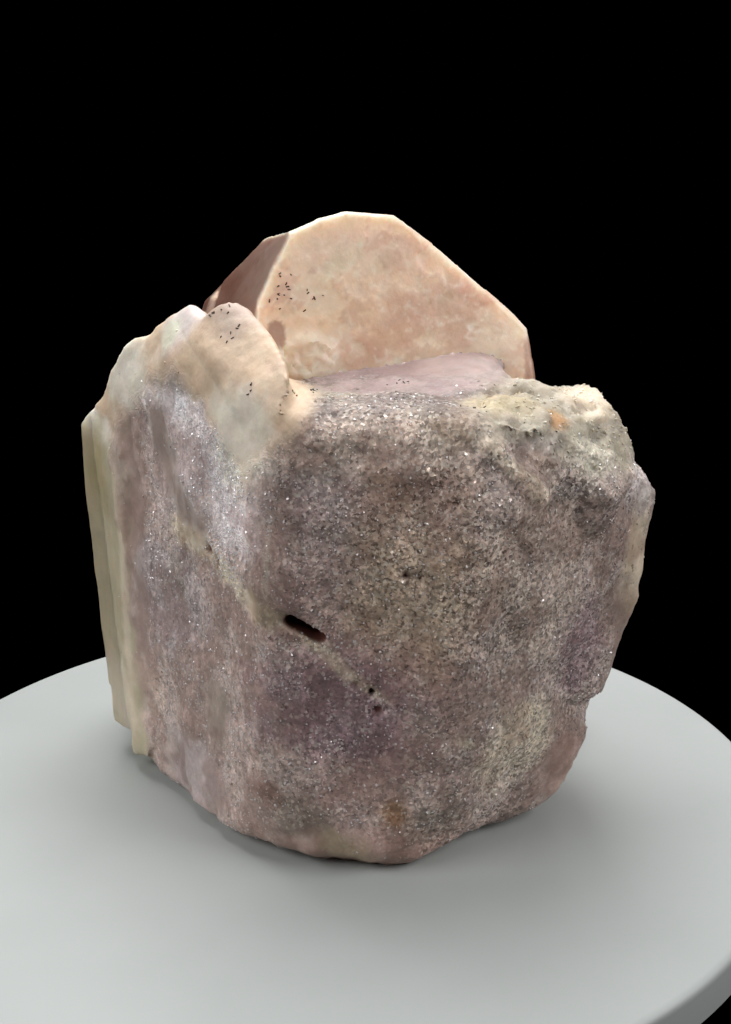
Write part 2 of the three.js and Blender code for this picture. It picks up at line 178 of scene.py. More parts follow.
# Lines: the place, the points it runs through, its half width, its colour and its strength.
SEAM = [(-6.5, -31.5, 37), (0.4, -32, 30.9), (9, -32.5, 25.6), (17, -31.5, 19.1)]
FRONT_EDGE = [(-10.4, -29.6, 70), (-11.4, -30, 54), (-12.8, -30, 27), (-15.5, -28, 3)]
LEFT_WINDOW = [(-30, -7, 62), (-27, -10, 55), (-23.5, -15, 48.5)]
LEFT_SEAM = [(-27, -11, 47.5), (-22, -16.6, 46), (-17, -24, 43.3), (-12.3, -29.8, 40.4)]
RIDGE = [(18, -30.4, 64.5), (20, -30.6, 62.3), (22.5, -30.5, 60), (25.5, -28.7, 56.7)]
MATRIX_LINES = [
    ("grey window", LEFT_WINDOW, 4, "smoke", 0.95),
    ("second window", [(-27.8, -9.3, 43), (-26.6, -11, 36)], 1.8, "smoke", 0.8),
    ("bright front edge", [(-11.6, -30, 56), (-12.3, -30, 43)], 0.5, "cream_white", 0.5),
    ("pale left seam", LEFT_SEAM, 2.4, "cream", 0.9),
    ("pale seam", SEAM, 1.1, "cream", 0.8),
    ("ridge below the crust", RIDGE, 1.6, "cream", 0.8),
    ("pale rim of the slot", [(-12.5, -30, 41), (-6, -31.5, 37)], 1.6, "cream_yellow", 0.5),
]
MORGANITE_LINES = [
    ("healed crack", [(8, 2, 88.5), (10.6, 2, 81), (13.6, 3, 75)], 0.5, "peach_cream", 0.8),
]

# Small hollows, painted dark inside as painted shade: the place, its centre, its radius and its depth.
MATRIX_PITS = [
    ("seam pit 1", (-0.4, -32, 30.9), 0.8, 1.4),
    ("seam pit 2", (2.6, -32.5, 27), 0.7, 1),
    ("brown pit 1", (6.7, -33, 47.2), 0.7, 1.2),
    ("brown pit 2", (14, -32.5, 57), 0.45, 0.7),
    ("pit by the ridge", (21.4, -30.4, 57), 0.5, 0.8),
    ("right pit 1", (21.5, -30, 36), 0.7, 1.2),
    ("right pit 2", (22.5, -29.5, 33.5), 0.6, 1.2),
    ("dark patch 1", (33, -19.5, 26), 1.0, 0.9),
    ("dark patch 2", (23, -25, 18.6), 0.9, 0.8),
    ("bottom pit", (4.6, -31.6, 6), 0.6, 0.8),
    ("left crack's top", (-21.2, -17.4, 46), 0.7, 1.2),
    ("left crack's foot", (-20, -19.2, 44.8), 0.7, 1.2),
]
# Scallops where a chip has come off: the place, its centre, its radius and its depth.
MATRIX_SCALLOPS = [
    ("right notch", (35, -13.5, 17.5), 2.6, 2.4),
    ("lilac hollow", (24, -28, 64), 3.2, 0.5),
]

# Clusters of tiny dark crystals: the node they sit on, the centre, the spread and the count.
SPECKS = [
    ("morganite_crystal", (-10.4, -2.6, 80.6), 1.8, 12),
    ("morganite_crystal", (-9.2, -2.0, 82.8), 1.0, 4),
    ("morganite_crystal", (-5.6, -1.6, 80.2), 0.9, 4),
    ("side_crystals", (-18.2, -12.6, 79.6), 1.1, 7),
    ("side_crystals", (-16.6, -16.6, 77.2), 0.9, 6),
    ("side_crystals", (-13, -24, 72), 2.0, 4),
    ("matrix", (-5.4, -20, 69.6), 1.4, 6),
    ("matrix", (-8.5, -25, 69), 1.6, 5),
    ("lavender_crystal", (7.2, -13, 69.6), 1.0, 6),
    ("matrix", (17, -27, 67), 1.6, 5),
    ("albite_crust", (27, -24, 64.4), 1.8, 7),
]


# ---- noise in numpy

def scrambled(cell, seed):
    """A repeatable number from 0 to 1 for each integer cell."""
    key = cell[..., 0] * 73856093 ^ cell[..., 1] * 19349663 ^ cell[..., 2] * 83492791
    key = (key ^ seed * 40503) * 1274126177 & 0x7FFFFFFF
    key = (key ^ key >> 15) * 2246822519 & 0x7FFFFFFF
    key = (key ^ key >> 13) * 3266489917 & 0x7FFFFFFF
    return (key ^ key >> 16 & 0x7FFF) / 0x7FFFFFFF


def smooth_noise(points, seed):
    """Gradient noise, from about -1 to 1, with features one unit across."""
    cell = np.floor(points).astype(np.int64)
    inside = points - cell
    ease = inside ** 3 * (inside * (inside * 6 - 15) + 10)
    total = np.zeros(len(points))
    for corner in np.ndindex(2, 2, 2):
        slope = np.stack([scrambled(cell + corner, seed + axis) for axis in (0, 1, 2)], axis=1) - 0.5
        weight = np.prod(np.where(np.equal(corner, 1), ease, 1 - ease), axis=1)
        total += weight * np.sum(slope * (inside - corner), axis=1)
    return total * 3.4


def rough_noise(points, seed, octaves=4):
    """Noise with finer and weaker noise added to it, from about -1 to 1."""
    total = np.zeros(len(points))
    for octave in range(octaves):
        total += smooth_noise(points * 2.03 ** octave + 17.3 * octave, seed + 7 * octave) * 0.5 ** octave
    return total / 1.6


def crystal_cells(points, seed):
    """Distance to the nearest of the seeded centres, about one per unit cube, and its own number."""
    cell = np.floor(points).astype(np.int64)
    nearest = np.full(len(points), 9.0)
    own = np.zeros(len(points))
    for offset in np.ndindex(3, 3, 3):
        near = cell + np.array(offset) - 1
        jitter = np.stack([scrambled(near, seed + axis) for axis in (0, 1, 2)], axis=1)
        distance = np.linalg.norm(near + jitter - points, axis=1)
        closer = distance < nearest
        nearest = np.where(closer, distance, nearest)
        own = np.where(closer, scrambled(near, seed + 3), own)
    return nearest, own


def rise(value, low, high):
    """0 below low, 1 above high, and a smooth step between them."""
    part = np.clip((value - low) / (high - low), 0, 1)
    return part * part * (3 - 2 * part)


def fall(value, low, high):
    """1 below low, 0 above high, and a smooth step between them."""
    return 1 - rise(value, low, high)


# ---- meshes

def welded(node):
    """The CAD node's mesh with its split corners joined again, open for editing."""
    work = bmesh.new()
    work.from_mesh(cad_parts[node].data)
    bmesh.ops.remove_doubles(work, verts=work.verts, dist=WELD)
    return work


def swell_out(work, swell):
    """Moves each vertex outwards by this many mm."""
    work.normal_update()
    for vertex, normal in [(vertex, vertex.normal.copy()) for vertex in work.verts]:
        vertex.co += normal * swell * MM


def mesh_from(work, name):
    """Ends the editing and gives its result as a mesh."""
    mesh = bpy.data.meshes.new(name)
    work.to_mesh(mesh)
    work.free()
    return mesh


def skin_of(work):
    """Ends the editing and gives its result as a tree of triangles to search."""
    skin = BVHTree.FromBMesh(work)
    work.free()
    return skin


def linked(name, data):
    """A new object in the scene."""
    obj = bpy.data.objects.new(name, data)
    bpy.context.scene.collection.objects.link(obj)
    return obj


def swollen_below(node, ceiling, swell):
    """The part of a node below a height, closed there and swollen, both in mm."""
    work = welded(node)
    everything = [*work.verts, *work.edges, *work.faces]
    cut = bmesh.ops.bisect_plane(work, geom=everything, plane_co=(0, 0, ceiling * MM),
                                 plane_no=(0, 0, 1), clear_outer=True)
    rim = [part for part in cut["geom_cut"] if isinstance(part, bmesh.types.BMEdge)]
    if rim:
        bmesh.ops.holes_fill(work, edges=rim)
    swell_out(work, swell)
    return mesh_from(work, node)


OCTREE_DEPTH = 8  # of the sharp remesh: its finest cells are 2 to this power across the longest side


def finer_copy(node, name, cell, sharp, grown_with=(), plugs=(), swell=0.0):
    """A dense, evenly meshed copy of a CAD node. A sharp one keeps the edges between its faces.

    grown_with names neighbours and the heights they are cut off at. Swollen with the node, they
    run into one skin, so that one mineral can fade into the other there. plugs are lumps, each with
    its centre and its half sizes, that fill clefts between them.
    """
    work = welded(node)
    swell_out(work, swell)
    for neighbour, ceiling in grown_with:
        work.from_mesh(swollen_below(neighbour, ceiling, swell))
    for _, centre, halves in plugs:
        place = Matrix.Translation(Vector(centre) * MM) @ Matrix.Diagonal((*halves, 1 / MM)) * MM
        bmesh.ops.create_icosphere(work, subdivisions=3, radius=1, matrix=place)
    coarse = linked(name + "_coarse", mesh_from(work, name + "_coarse"))
    remesh = coarse.modifiers.new("finer", "REMESH")
    if sharp:
        longest = max(coarse.dimensions)
        remesh.mode = "SHARP"
        remesh.octree_depth = OCTREE_DEPTH
        remesh.scale = longest / (cell * MM * 2 ** OCTREE_DEPTH)
        remesh.use_remove_disconnected = False
    else:
        remesh.mode = "VOXEL"
        remesh.voxel_size = cell * MM
    made = bpy.data.meshes.new_from_object(coarse.evaluated_get(bpy.context.evaluated_depsgraph_get()))
    bpy.data.objects.remove(coarse)
    made.name = name
    return made


def numbers_of(parts, name, width, kind=np.int32):
    """One attribute of a mesh's parts, as an array with this many numbers in each row."""
    flat = np.zeros(len(parts) * width, kind)
    parts.foreach_get(name, flat)
    return flat.reshape(-1, width)


def points_of(mesh):
    """The mesh's vertices in mm."""
    return numbers_of(mesh.vertices, "co", 3, np.float32).astype(float) / MM


def normals_of(mesh):
    """The mesh's vertex normals."""
    return numbers_of(mesh.vertex_normals, "vector", 3, np.float32).astype(float)


def set_points(mesh, points):
    """Puts the mesh's vertices at these places in mm."""
    mesh.vertices.foreach_set("co", (points * MM).astype(np.float32).ravel())
    mesh.update()


def edge_ends(mesh):
    """The two vertices of each edge, as two arrays."""
    ends = numbers_of(mesh.edges, "vertices", 2)
    return ends[:, 0], ends[:, 1]


def neighbour_mean(ends, points):
    """At each vertex, the mean place of the vertices that it shares an edge with."""
    here, there = np.concatenate(ends), np.concatenate(ends[::-1])
    count = len(points)
    total = [np.bincount(here, weights=points[there, axis], minlength=count) for axis in (0, 1, 2)]
    return np.stack(total, axis=1) / np.bincount(here, minlength=count)[:, None]


def relaxed(mesh, rounds, amount=0.5):
    """Moves each vertex towards the mean of its neighbours, by one share or by one for each vertex."""
    points, ends = points_of(mesh), edge_ends(mesh)
    for _ in range(rounds):
        points += np.reshape(amount, (-1, 1)) * (neighbour_mean(ends, points) - points)
    set_points(mesh, points)


def filled(mesh, rounds, amount=0.5):
    """Fills clefts and inner corners: as relaxed, but each vertex only moves outwards."""
    points, ends, normals = points_of(mesh), edge_ends(mesh), normals_of(mesh)
    for _ in range(rounds):
        out = np.sum((neighbour_mean(ends, points) - points) * normals, axis=1)
        points += (amount * np.maximum(out, 0))[:, None] * normals
    set_points(mesh, points)


def edge_highlight_mask(mesh, sharpness):
    """1 on a crystal's outer edges, where a vertex stands out from its neighbours by this many mm."""
    points = points_of(mesh)
    out = np.sum((points - neighbour_mean(edge_ends(mesh), points)) * normals_of(mesh), axis=1)
    return rise(out, 0.3 * sharpness, sharpness)


def opaque(tint):
    """Each tint with a 1 after its three numbers."""
    return np.concatenate([tint, np.ones((len(tint), 1))], axis=1)


def add_colours(mesh, name, values):
    """Stores four numbers at each vertex under this name."""
    layer = mesh.color_attributes.new(name, "FLOAT_COLOR", "POINT")
    layer.data.foreach_set("color", values.astype(np.float32).ravel())


def added(mesh, material):
    """Makes an object from its mesh, riding on the one body."""
    mesh.materials.append(material)
    piece = linked(mesh.name, mesh)
    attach(piece, "root")
    return piece


# A finished piece's mesh, with the tint and the grain at each of its vertices.
Surface = namedtuple("Surface", "mesh tint grain")


def finished(mesh, node, material, tint, finish, crease=None):
    """Paints the mesh, makes its object and puts it in place of its node."""
    add_colours(mesh, "tint", opaque(tint))
    add_colours(mesh, "finish", finish)
    mesh.shade_smooth()
    if crease:
        mesh.set_sharp_from_angle(angle=np.radians(crease))
    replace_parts(added(mesh, material), node)
    return Surface(mesh, tint, finish[:, 0])


def finish_of(points, grain=0.0, clear=0.0, dark=0.0, drawn=0.0):
    """The four numbers of the finish at each point, from single values or one for each point."""
    return np.stack([np.zeros(len(points)) + value for value in (grain, clear, dark, drawn)], axis=1)


# ---- painting

def along_line(points, stops):
    """Distance in mm from each point to the line through the stops."""
    nearest = np.full(len(points), 1e9)
    for start, end in zip(np.array(stops[:-1], float), np.array(stops[1:], float)):
        run = end - start
        part = np.clip((points - start) @ run / (run @ run), 0, 1)
        distance = np.linalg.norm(points - start - part[:, None] * run, axis=1)
        nearest = np.minimum(nearest, distance)
    return nearest


def lay(tint, colour, cover):
    """Lays a colour over the tints, as far as the cover from 0 to 1 says at each point."""
    over_it = linear(colour) if isinstance(colour, str) else colour
    tint += cover[:, None] * (over_it - tint)


def painted(points, base, zones, lines=(), seed=1):
    """The colour at each point: the base, then the zones and lines laid over it in turn."""
    tint = np.tile(linear(base), (len(points), 1))
    wander = 0.45 * rough_noise(points / 6, seed) + 0.2 * rough_noise(points / 1.6, seed + 100)
    for _, centre, radius, height, colour, strength in zones:
        reach = np.linalg.norm((points - centre) / (radius, radius, height), axis=1) + wander
        lay(tint, colour, strength * fall(reach, 0.45, 1.2))
    for _, stops, width, colour, strength in lines:
        reach = along_line(points, stops) / width + wander
        lay(tint, colour, strength * fall(reach, 0.4, 1.3))
    return tint


def patch(points, centre, radius, height):
    """1 inside a zone, fading to 0 just outside it."""
    reach = np.linalg.norm((points - centre) / (radius, radius, height), axis=1)
    return fall(reach, 0.6, 1.15)


# ---- materials

class Shader:
    """Adds nodes to one material with short calls."""

    def __init__(self, name):
        self.material = bpy.data.materials.new(name)
        self.material.use_nodes = True
        self.tree = self.material.node_tree
        self.principled = self.tree.nodes["Principled BSDF"]

    def put(self, socket, value):
        """Links another node's socket to this one, or sets its own value."""
        if isinstance(value, bpy.types.NodeSocket):
            self.tree.links.new(value, socket)
        else:
            socket.default_value = value

    def add(self, kind, sockets, **settings):
        node = self.tree.nodes.new(kind)
        for key, value in settings.items():
            setattr(node, key, value)
        for socket, value in sockets.items():
            self.put(node.inputs[socket], value)
        return node

    def surface(self, inputs):
        """Links or sets the inputs of the surface itself."""
        for name, value in inputs.items():
            self.put(self.principled.inputs[name], value)

    def place_in_mm(self):
        return self.scaled(self.add("ShaderNodeTexCoord", {}).outputs["Object"], 1 / MM)

    def math(self, operation, first, second):
        return self.add("ShaderNodeMath", {0: first, 1: second}, operation=operation).outputs[0]

    def times(self, first, second):
        return self.math("MULTIPLY", first, second)

    def plus(self, first, second):
        return self.math("ADD", first, second)

    def minus(self, first, second):
        return self.math("SUBTRACT", first, second)

    def vector(self, operation, first, second=(0.0, 0.0, 0.0)):
        node = self.add("ShaderNodeVectorMath", {0: first, 1: second}, operation=operation)
        return node.outputs[0]

    def scaled(self, vector, amount):
        node = self.add("ShaderNodeVectorMath", {0: vector, "Scale": amount}, operation="SCALE")
        return node.outputs[0]

    def mix(self, amount, first, second):
        node = self.add("ShaderNodeMix", {}, data_type="RGBA")
        for index, value in ((0, amount), (6, first), (7, second)):
            self.put(node.inputs[index], value)
        return node.outputs[2]

    def step(self, value, low, high, start=0.0, end=1.0):
        """start below low, end above high."""
        sockets = {"Value": value, "From Min": low, "From Max": high, "To Min": start, "To Max": end}
        return self.add("ShaderNodeMapRange", sockets).outputs["Result"]

    def split(self, colour):
        return self.add("ShaderNodeSeparateColor", {"Color": colour}).outputs

    def attribute(self, name):
        return self.add("ShaderNodeAttribute", {}, attribute_name=name).outputs

    def noise(self, place, size, detail=2.0, kind="Fac"):
        sockets = {"Vector": place, "Scale": 1 / size, "Detail": detail}
        return self.add("ShaderNodeTexNoise", sockets).outputs[kind]

    def cells(self, place, size):
        return self.add("ShaderNodeTexVoronoi", {"Vector": place, "Scale": 1 / size}).outputs["Color"]

    def swing(self, value, grain, amount):
        """A factor around 1 that follows a value from 0 to 1, as far as the surface is grainy."""
        return self.plus(self.times(self.minus(value, 0.5), self.times(grain, 2 * amount)), 1.0)

    def spots(self, place, size, share):
        """1 in ragged spots about this big, more of them where the share is higher."""
        spot = self.plus(self.noise(place, size, 3.0), self.times(share, 0.12))
        return self.times(self.step(spot, 0.68, 0.72), self.step(share, 0.0, 0.1))


def rgba(colour):
    return (*linear(colour), 1.0)


# What all the minerals share. Lengths are in mm; the rest are shares or shader values.
PIT_SIZE = 0.6
PIT_DARKNESS = 0.6
HUE_SIZE = 3.0
GLINT_ROUGHNESS = 0.22
GLOSS_CHANGE = 0.07
BUMP_DEPTH = 0.25


class Stone(Shader):
    """A translucent mineral, waxy where its grain is 0 and sugary with random facets where it is 1.

    It reads two sets of numbers from the mesh: "tint" is the colour, and "finish" holds the grain,
    the clearness, the share of dark specks and, as its fourth, how far the grain is drawn out upwards.
    """

    def __init__(self, name, look):
        super().__init__(name)
        self.look = look
        self.place = self.place_in_mm()
        upright = self.vector("MULTIPLY", self.place, (1.0, 1.0, 0.5))
        finish = self.attribute("finish")
        self.grain, clear, dark = self.split(finish["Color"])
        facets = [self.cells(place, look["grain"]) for place in (self.place, upright)]
        self.facet = self.mix(finish["Alpha"], *facets)
        drawn_place = self.mix(finish["Alpha"], self.place, upright)
        self.cloud = self.noise(self.place, look["cloud"], 4.0)
        self.fine = self.noise(drawn_place, look["grain"] * 2.5, 3.0)
        self.middle = self.noise(drawn_place, look["grain"] * 5, 3.0)
        self.pits = self.spots(self.place, PIT_SIZE, dark)
        roughness, metal = self.shine()
        self.surface({"Base Color": self.colour(), "Roughness": roughness, "Metallic": metal,
                      "Normal": self.normal(), "IOR": look["ior"], "Subsurface Weight": look["soft"],
                      "Subsurface Radius": look["radius"], "Subsurface Scale": look["depth"] * MM})
        if look["clear"]:
            self.surface({"Transmission Weight": self.times(clear, look["clear"])})

    def colour(self):
        """The mesh's tint, clouded and mottled grain by grain, with pale grains and dark pits."""
        look = self.look
        red, green, _ = self.split(self.facet)
        shade = self.step(self.cloud, 0.25, 0.75, 1 - look["cloudy"], 1 + look["cloudy"])
        for value, amount in ((red, "contrast"), (self.fine, "fine"), (self.middle, "fine")):
            shade = self.times(shade, self.swing(value, self.grain, look[amount]))
        colour = self.scaled(self.attribute("tint")["Color"], shade)
        hue = self.scaled(self.noise(self.place, HUE_SIZE, 2.0, "Color"), 2 * look["hue"])
        colour = self.vector("MULTIPLY", colour, self.vector("ADD", hue, (1 - look["hue"],) * 3))
        pale = self.times(self.step(green, 0.86, 0.88), self.times(self.grain, look["pale"]))
        colour = self.mix(pale, colour, rgba("cream_white"))
        return self.mix(self.times(self.pits, PIT_DARKNESS), colour, rgba("pit_brown"))

    def shine(self):
        """The roughness and the metallic share, with a few facets that glint."""
        look = self.look
        blue = self.split(self.facet)[2]
        glint = self.times(self.step(blue, 1 - look["glints"], 1 - look["glints"] + 0.01), self.grain)
        rough = self.step(self.cloud, 0.3, 0.7, look["gloss"] - GLOSS_CHANGE, look["gloss"] + GLOSS_CHANGE)
        shine = self.times(glint, self.minus(GLINT_ROUGHNESS, rough))
        return self.plus(rough, shine), self.times(glint, look["metal"])

    def normal(self):
        """Facets that each face their own way, under a bump of grains and pits."""
        tilt = self.vector("SUBTRACT", self.facet, (0.5, 0.5, 0.5))
        tilt = self.scaled(tilt, self.times(self.grain, self.look["tilt"]))
        smooth = self.add("ShaderNodeNewGeometry", {}).outputs["Normal"]
        facing = self.vector("NORMALIZE", self.vector("ADD", smooth, tilt))
        height = self.minus(self.plus(self.fine, self.times(self.middle, 2.0)), self.pits)
        height = self.times(height, self.step(self.grain, 0.0, 1.0, 0.25, 1.0))
        sockets = {"Height": height, "Normal": facing, "Strength": self.look["bump"],
                   "Distance": BUMP_DEPTH * MM}
        return self.add("ShaderNodeBump", sockets).outputs[0]


# What each mineral's surface is like. Lengths are in mm; the rest are shares or shader values.
GRANULAR = dict(grain=0.42, contrast=0.36, cloud=7, cloudy=0.14, fine=0.45, hue=0.04, pale=0.3, glints=0.05,
                metal=0.2, gloss=0.62, tilt=0.6, bump=0.6, clear=0, ior=1.53, soft=0.25,
                radius=(1.0, 0.6, 0.5), depth=1.6)
SUGARY = dict(GRANULAR, grain=0.55, contrast=0.2, cloudy=0.08, fine=0.2, pale=0.4, glints=0.03, soft=0.5,
              depth=2.5, radius=(1.0, 0.85, 0.6))
BERYL = dict(GRANULAR, cloud=4.5, cloudy=0.06, gloss=0.4, bump=0.3, clear=0.8, ior=1.58,
             soft=0.75, radius=(1.0, 0.62, 0.42), depth=6)
LOBE = dict(GRANULAR, gloss=0.58, clear=0.8, ior=1.58)
LEPIDOLITE = dict(BERYL, clear=0, radius=(1.0, 0.75, 0.85), depth=3)
FELDSPAR = dict(BERYL, clear=0.35, ior=1.53, gloss=0.38, radius=(1.0, 0.9, 0.55), depth=4, cloud=6)


# ---- the matrix

LEFT_OUT = np.array((-0.785, -0.617, 0.05))  # the way the left face looks
LEFT_FACE = 27.0  # how far out along it that face lies
PAST_EDGE = np.array((0.91, -0.414))  # level, and square to the bisector of the left and front faces
MATRIX_CELL = 0.64
MATRIX_SWELL = 0.3  # closes the packing gap between the matrix and the crystals set in it
POCKET_FLOOR = 5.5  # the lowest that the tablet's pocket in the matrix is opened, above the worn foot
UNDERCUT = 2.6  # how far the worn foot of the matrix draws in at the floor
FOOT_HEIGHT = 3.2  # how high that foot is
FOOT_CENTRE = (-2.0, -6.0)
SLOT = [(-9.6, -30.9, 39.2), (-4.8, -31.6, 36.8)]  # the middle line of the open slot in the front
SLOT_WIDTH = 1.9
SLOT_FLOOR = -25.0  # the slot's marks are only on what lies further to the front
SLOT_MOUTH = (-31.2, -30)  # between these depths the front's skin turns into the slot's inside, painted dark as shade
LOWEST = 0.02  # the height that the underside is laid at
UNDERSIDE = 0.4  # what lies below this height belongs to the underside
LID_BAND = 1.5  # the lid over the pocket lies within this distance of its height
POCKET_RIM = (1.5, 3.5)  # the pocket opens between these distances inside the crystal's skin
DULLING = np.array((0.27, 0.33, 0.35))  # how much less the dull patches send back of each colour
FRONT_SHADE = 0.24  # painted shade: how much darker the front is than the left face
TOP_SHADE = 0.39  # and how much darker painted shade makes the level top, between the two heights
TOP_HEIGHTS = (67.8, 69)
BROWN_PLACE = ((10, -32, 46), 14, 18)  # where the front is mottled brown: centre, radius, half height

# Where the matrix is knobbly, and where the crust and the lobe melt into it: centre, radius, half height.
BROKEN_PLACE = ((25, -26, 63), 13, 7)
MELTED_PLACE = ((29, -25, 60), 12, 6.5)
LOBE_ROOT = ((-18, -20, 66), 9, 8)
SLAB_BORDER = [(-39, 3, 58), (-36.5, 2, 12)]  # the line along which the slab melts into it
# Clefts that rock fills: the place, its centre and its half sizes.
PLUGS = [
    ("between slab and shoulder", (-37.4, 6.5, 54), (2.4, 6.5, 5)),
    ("under the crust", (33, -20, 54), (5, 4, 6.5)),
    ("between plate and crust", (20.5, -9.5, 66), (5, 5, 2.6)),
    ("in the hollow of the crust", (22.5, -27.4, 64.3), (4, 2, 2.6)),
]

# Where the matrix is waxy and not sugary: the place, its centre, its radius and its half height.
SMOOTH_PLACES = [
    ("olive window", (-21, -19, 20.5), 4, 6.5),
    ("green window", (-14.3, -28, 42), 1.8, 2.6),
    ("left foot", (-27, -13, 6), 12, 9),
    ("left by the slab", (-36, 2, 35), 7, 40),
    ("pink foot", (31, -18, 8), 6, 8),
    ("right rim", (42, -12, 36), 5, 18),
    ("bottom", (-4, -30, 3), 13, 6),
    ("top cream", (-6, -18, 69.5), 5, 3),
]


def on_left_face(points):
    """1 on the left face and 0 elsewhere, changing raggedly at its edge with the front."""
    x, y, z = np.array(FRONT_EDGE[::-1]).T
    edge = np.stack([np.interp(points[:, 2], z, x), np.interp(points[:, 2], z, y)], axis=1)
    past = (points[:, :2] - edge) @ PAST_EDGE + 3 * rough_noise(points / 6, 15)
    return rise(points @ LEFT_OUT, LEFT_FACE - 9, LEFT_FACE - 5) * fall(past, -2.5, 2.5)


def distance_to(points, node):
    """How far each point is from the skin of a CAD node, in mm."""
    skin = skin_of(welded(node))
    return np.array([skin.find_nearest(Vector(point) * MM)[3] for point in points]) / MM


def pocket_depth(points, distance, node, ceiling):
    """How far the lid over a node's cut lower part is sunk, so that the node's own pocket is open."""
    skin = skin_of(welded(node))
    depth = np.zeros(len(points))
    lid = (np.abs(points[:, 2] - ceiling) < LID_BAND) & (distance > POCKET_RIM[0])
    for index in np.flatnonzero(lid):
        place, out, _, reach = skin.ray_cast(Vector(points[index]) * MM, Vector((0, 0, -1)))
        if place and out.z < 0:
            depth[index] = min(reach / MM, ceiling - POCKET_FLOOR)
    return depth * rise(distance, *POCKET_RIM)


def within(distance, reach):
    """1 close by and 0 further away than the reach."""
    return fall(distance, 0.3 * reach, reach)


def pit_depth(points, pits):
    """How deep each point lies in the small hollows."""
    depth = np.zeros(len(points))
    ragged = 0.35 * rough_noise(points / 1.2, 17)
    for _, centre, radius, deepest in pits:
        reach = np.linalg.norm(points - np.array(centre, float), axis=1) / radius + ragged
        depth = np.maximum(depth, deepest * fall(reach, 0.5, 1.5))
    return depth


def from_slot(points):
    """Distance from the slot's middle line as seen from the front, in mm."""
    flat = along_line(points * (1, 0, 1), np.array(SLOT) * (1, 0, 1))
    return flat + 10 * rise(points[:, 1], SLOT_FLOOR, SLOT_FLOOR + 2)


def matrix_relief(points):
    """Lumps, broken knobs and crumbs, and upright folia on the left face, in mm outwards."""
    left = on_left_face(points)
    lumps = 0.5 * rough_noise(points / 8, 11) + 0.5 * rough_noise(points / 20, 16)
    knobs = rough_noise(points / 2.6, 12)
    crumb, _ = crystal_cells(points / 1.5, 13)
    folia = 0.45 * rough_noise(points * (1, 1, 0.4) / 2.4, 14)
    folia += 0.7 * rough_noise(points * (1, 1, 0.5) / 6, 18)
    folia *= rise(along_line(points, LEFT_WINDOW), 1.5, 4)
    broken = (0.22 * knobs + 0.3 * (0.55 - crumb)) * (1 + 1.6 * patch(points, *BROKEN_PLACE))
    lumps += 0.7 * fall(along_line(points, RIDGE), 0.6, 2) * (1 - left)
    lumps += 0.5 * rough_noise(points / 3.2, 19) * fall(points[:, 2], 8, 16)
    relief = lumps + (1 - left) * broken + left * folia
    beside_slot = fall(from_slot(points), SLOT_WIDTH, 2 * SLOT_WIDTH)
    return MATRIX_SWELL + relief * (1 - beside_slot) - 0.45 * beside_slot


def sugary_share(points):
    """1 on pale sugary patches and 0 on the duller, smoother ones between them, with ragged edges."""
    large = rough_noise(points * (1, 1, 0.75) / 8, 25) + 0.35 * rough_noise(points / 1.8, 26)
    return rise(large, -0.2, 0.12)


def matrix_tint(points):
    """The matrix's colour, blotched, with painted shade in hollows, front and top, and a painted highlight
    on what stands out.
    """
    tint = painted(points, "grey_beige", MATRIX_ZONES, MATRIX_LINES, 21)
    relief = matrix_relief(points) - MATRIX_SWELL
    # Painted shade darkens the hollows and a painted highlight lightens what stands out.
    shade = 1 - 0.2 * rise(-relief, 0.0, 0.8) + 0.1 * rise(relief, 0.1, 0.8)
    mottling = 0.16 + 0.16 * patch(points, *BROWN_PLACE)
    blotches = mottling * rough_noise(points * (1, 1, 0.7) / 2.4, 22) + 0.1 * rough_noise(points / 9, 23)
    dull = (1 - sugary_share(points))[:, None]
    # Painted shade: the front darker than the left face, and the level top darker still, where the overhead
    # light is strongest.
    darker = 1 - FRONT_SHADE * (1 - on_left_face(points)) - TOP_SHADE * rise(points[:, 2], *TOP_HEIGHTS)
    return tint * ((shade + blotches + 0.12) * darker)[:, None] * (1 - dull * DULLING)


def matrix_finish(points):
    """Sugary on the front, waxy in the smooth places, with dark specks where it is mottled brown."""
    left = on_left_face(points)
    grain = 0.6 + 0.4 * sugary_share(points)
    grain *= 1 - 0.8 * fall(along_line(points, LEFT_WINDOW), 1.8, 4)
    for _, centre, radius, height in SMOOTH_PLACES:
        grain *= 1 - 0.8 * patch(points, centre, radius, height)
    brown = patch(points, *BROWN_PLACE)
    dark = 0.3 + 0.6 * brown + 0.5 * rough_noise(points / 5, 24) - left
    dark -= rise(points[:, 2], 60, 66) + fall(points[:, 2], 7, 13)
    return finish_of(points, grain, dark=np.clip(dark, 0, 1), drawn=0.3 * left)


def smooth_matrix(mesh, distances):
    """Softens the skin and fills its clefts, most where one mineral melts into another."""
    points = points_of(mesh)
    kept = rise(from_slot(points), SLOT_WIDTH, 1.6 * SLOT_WIDTH)
    from_edge = along_line(points, FRONT_EDGE)
    relaxed(mesh, 8, 0.5 * kept)
    relaxed(mesh, 40, 0.5 * kept * fall(from_edge, 2, 6))
    filled(mesh, 100, 0.5 * within(np.min(list(distances.values()), axis=0), 5))
    melted = [patch(points, *MELTED_PLACE), patch(points, *LOBE_ROOT)]
    melted.append(fall(along_line(points, SLAB_BORDER), 4, 8))
    melted.append(fall(from_edge, 5, 11) * fall(points[:, 2], 32, 38))
    relaxed(mesh, 150, 0.5 * np.max(melted, axis=0))


